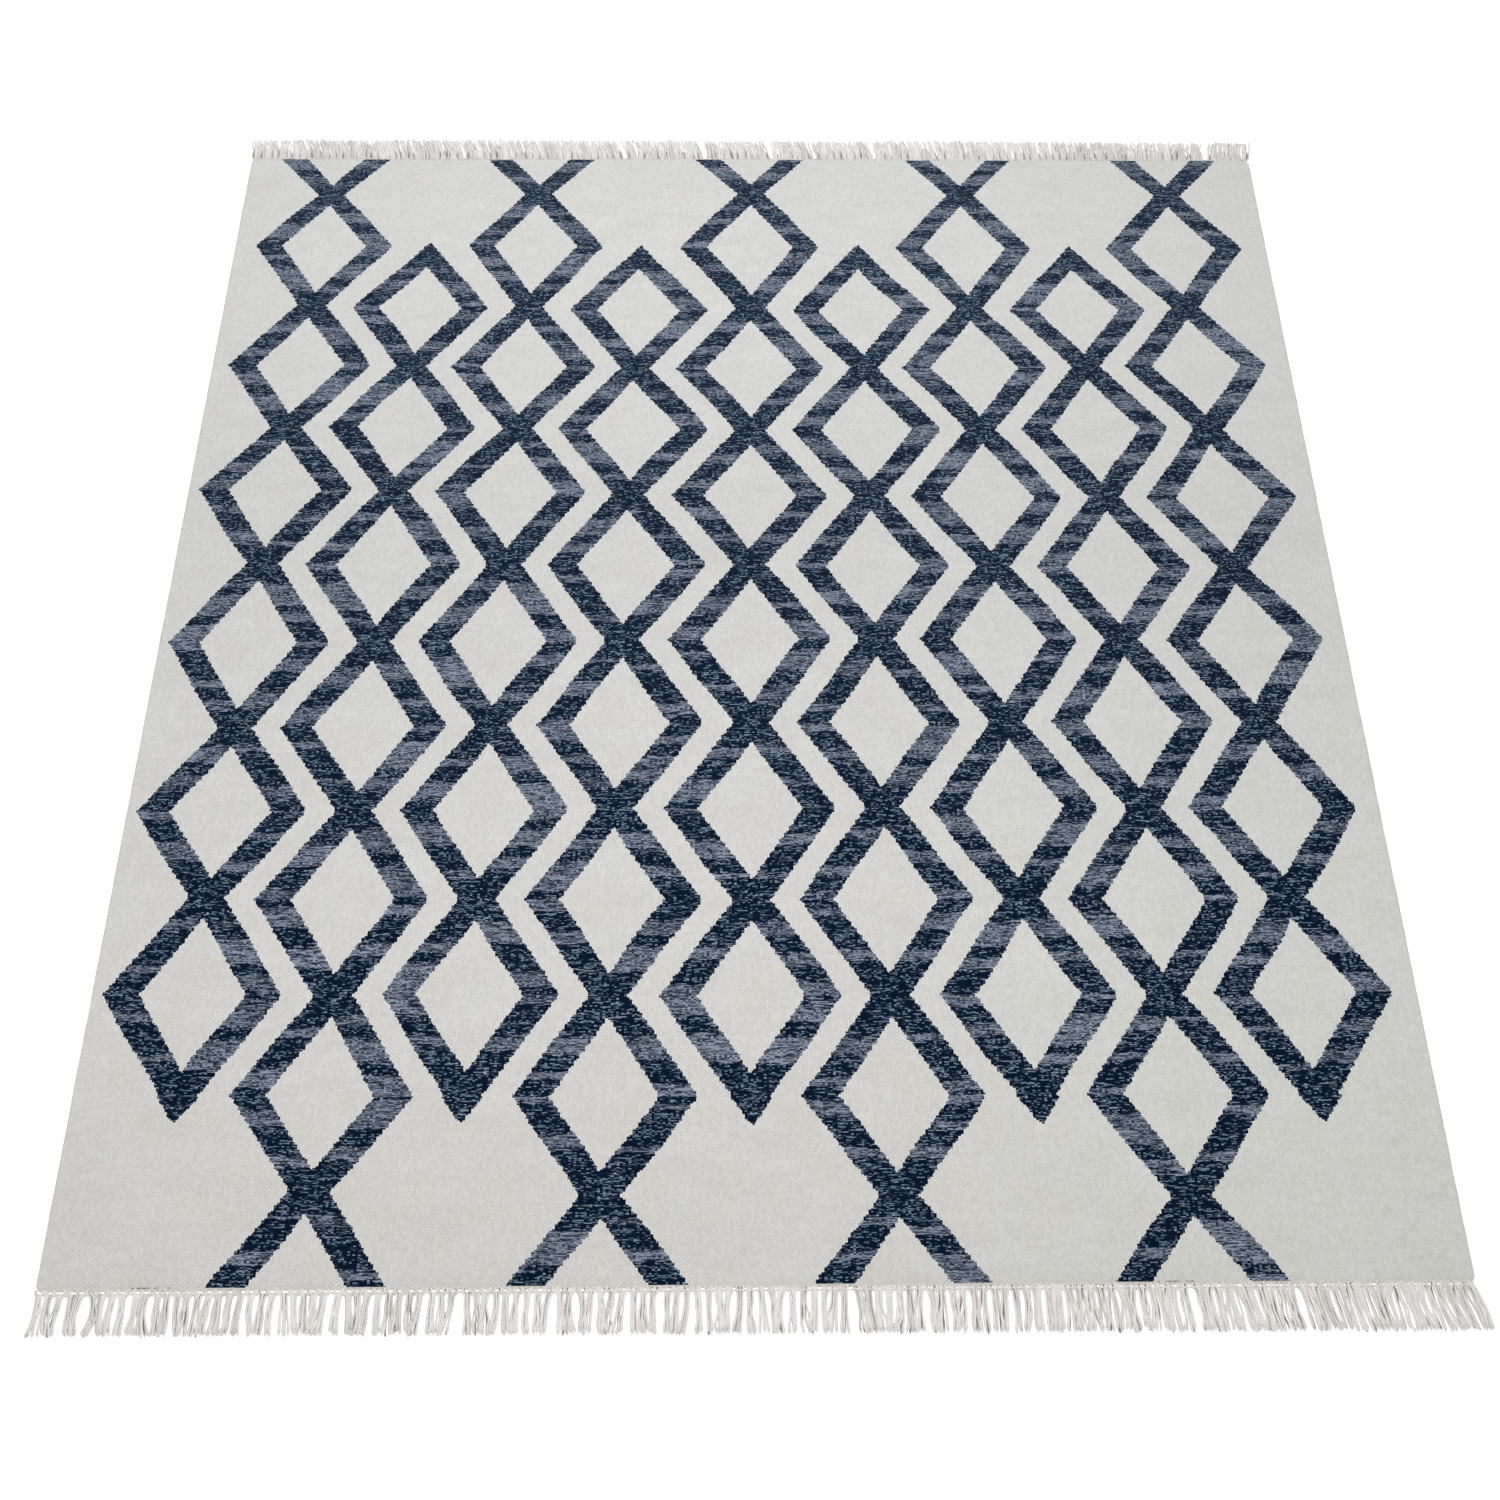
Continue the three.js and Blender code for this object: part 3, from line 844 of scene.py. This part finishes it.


# What the two ends say. A pair of lists is places across the rug and the value at each of them, and
# a pair of numbers is the least and the greatest value.
# yarns, radii: how many yarns a lock has, and how thick they are.
# bound, half_widths: half a lock's width in the twining, and where it lies free.
# fan, ragged: how many times that width its tips take up, and by what share its yarns fall short.
# stray, bow, unsettled: how far a yarn strays, a lock bows, and its tip lies to either side.
# seams, patches: the share of yarns in seams of painted shade, and how much it varies along the
# end.
# seam_width, seam_every: how many seats a seam reaches to each side, and that one yarn in so many
# is in it. seam_thin, seam_shade_depth, seam_turn: its thickness, the depth of its painted shade
# and where that shade is darkest.
# twining_tone, tone, paler_tips: how pale the twined strands and the yarns are, and their tips.
# frayed: how many times its own thickness a yarn has near its tip.
# tips, lean: how far the tips lie from the middle of the rug, and to the right of the roots.
# partings, give: where the locks part, and how much they give way there.
# regroup: how much of a lock comes over from its neighbours between the cloth and the twining.
front_end = {
    "skew": front_skew,
    "seed": 1,
    "yarns": 5,
    "radii": (0.0012, 0.0015),
    "bound": ([-0.7, 0, 0.3, 0.7], [0.0029, 0.0024, 0.0031, 0.0043]),
    "half_widths": ([-0.7, 0, 0.3, 0.7], [0.0025, 0.0023, 0.0032, 0.0042]),
    "fan": (0.9, 2.3),
    "ragged": 0.03,
    "stray": 0.0007,
    "bow": 0.0014,
    "unsettled": ([-0.8, 0, 0.5], [0.005, 0.005, 0.003]),
    "seams": 0.6,
    "patches": 0.35,
    "seam_width": 2,
    "seam_every": 2,
    "seam_thin": 0.65,
    "seam_shade_depth": 1.1,
    "seam_turn": (0, 1),
    "twining_tone": 0.8,
    "tone": (0.25, 0.75),
    "paler_tips": 0.1,
    "frayed": 1.4,
    "tips": ([-0.8, 0.8], [1.2145, 1.2125]),
    "lean": (
        [-0.8, -0.7, -0.35, 0.15, 0.42, 0.52, 0.8],
        [-0.003, 0.001, -0.001, 0, 0.002, 0.007, 0.011],
    ),
    "partings": [-0.69, -0.468, -0.325, -0.107, 0.11, 0.477, 0.598],
    "give": [1, 1, 1, 1, 1, 1, 1],
    "regroup": ([-0.8, -0.3, 0, 0.3, 0.8], [1, 0.6, 0, 0.3, 0.8]),
}
back_end = {
    "skew": back_skew,
    "seed": 2,
    "yarns": 7,
    "radii": (0.0012, 0.0015),
    "bound": ([-0.8, 0.8], [0.0052, 0.0052]),
    "half_widths": ([-0.8, 0.8], [0.0052, 0.0052]),
    "fan": (0.9, 1.4),
    "ragged": 0.04,
    "stray": 0.0009,
    "bow": 0.0009,
    "unsettled": ([-0.8, 0.8], [0.0015, 0.0015]),
    "seams": 0.75,
    "patches": 0.15,
    "seam_width": 0.34,
    "seam_every": 1,
    "seam_thin": 0.9,
    "seam_shade_depth": 0.6,
    "seam_turn": (0.03, 0.13),
    "twining_tone": 0.5,
    "tone": (0.1, 0.35),
    "paler_tips": 0.45,
    "frayed": 1.1,
    "tips": ([-0.8, -0.5, 0, 0.4, 0.8], [1.2145, 1.214, 1.207, 1.204, 1.1955]),
    "lean": (
        [-0.8, -0.72, -0.4, 0.2, 0.45, 0.8],
        [0.002, -0.01, -0.012, -0.008, -0.003, 0.003],
    ),
    "partings": [-0.46, -0.205, -0.07, 0.04, 0.104, 0.205, 0.735],
    "give": [1, 1, 1.7, 1, 1.5, 1, 1.7],
    "regroup": ([-0.8, 0.8], [0.2, 0.2]),
}
front_fringe = fringe("fringe_yarns_front", -1, front_end, "fringe_front")
back_fringe = fringe("fringe_yarns_back", 1, back_end, "fringe_back")


# The studio: a big floor in matt white paint, lit from below and 0.3 mm under the rug, an even
# white sky, and a long soft lamp that hangs over the rug.
floor_size = 30.0
floor_drop = 0.0003
floor_glow = 0.55
sky_strength = 0.6
lamp_width = 1.0
lamp_length = 3.6
lamp_watts = 32
lamp_place = (-0.15, 0.4, 2.2)
white = (1, 1, 1, 1)

floor_paint, floor_shader = new_material("studio_floor", 1.0)
floor_shader.inputs["Base Color"].default_value = linear("#fbfbfb")
floor_shader.inputs["Emission Color"].default_value = white
floor_shader.inputs["Emission Strength"].default_value = floor_glow
floor_corners = floor_size / 2 * np.array([[-1, -1, 0], [1, -1, 0], [1, 1, 0], [-1, 1, 0]])
floor_face = np.array([[0, 1, 2, 3]])
floor = mesh_piece("floor", floor_corners - (0, 0, floor_drop), [floor_face], floor_paint)

world = bpy.data.worlds.new("studio")
world.use_nodes = True
world.node_tree.nodes["Background"].inputs["Strength"].default_value = sky_strength
world.node_tree.nodes["Background"].inputs["Color"].default_value = white
bpy.context.scene.world = world

lamp = bpy.data.objects.new("soft_lamp", bpy.data.lights.new("soft_lamp", "AREA"))
lamp.data.shape = "RECTANGLE"
lamp.data.size = lamp_width
lamp.data.size_y = lamp_length
lamp.data.energy = lamp_watts
lamp.location = lamp_place
bpy.context.scene.collection.objects.link(lamp)
bpy.context.scene.view_settings.view_transform = "Standard"
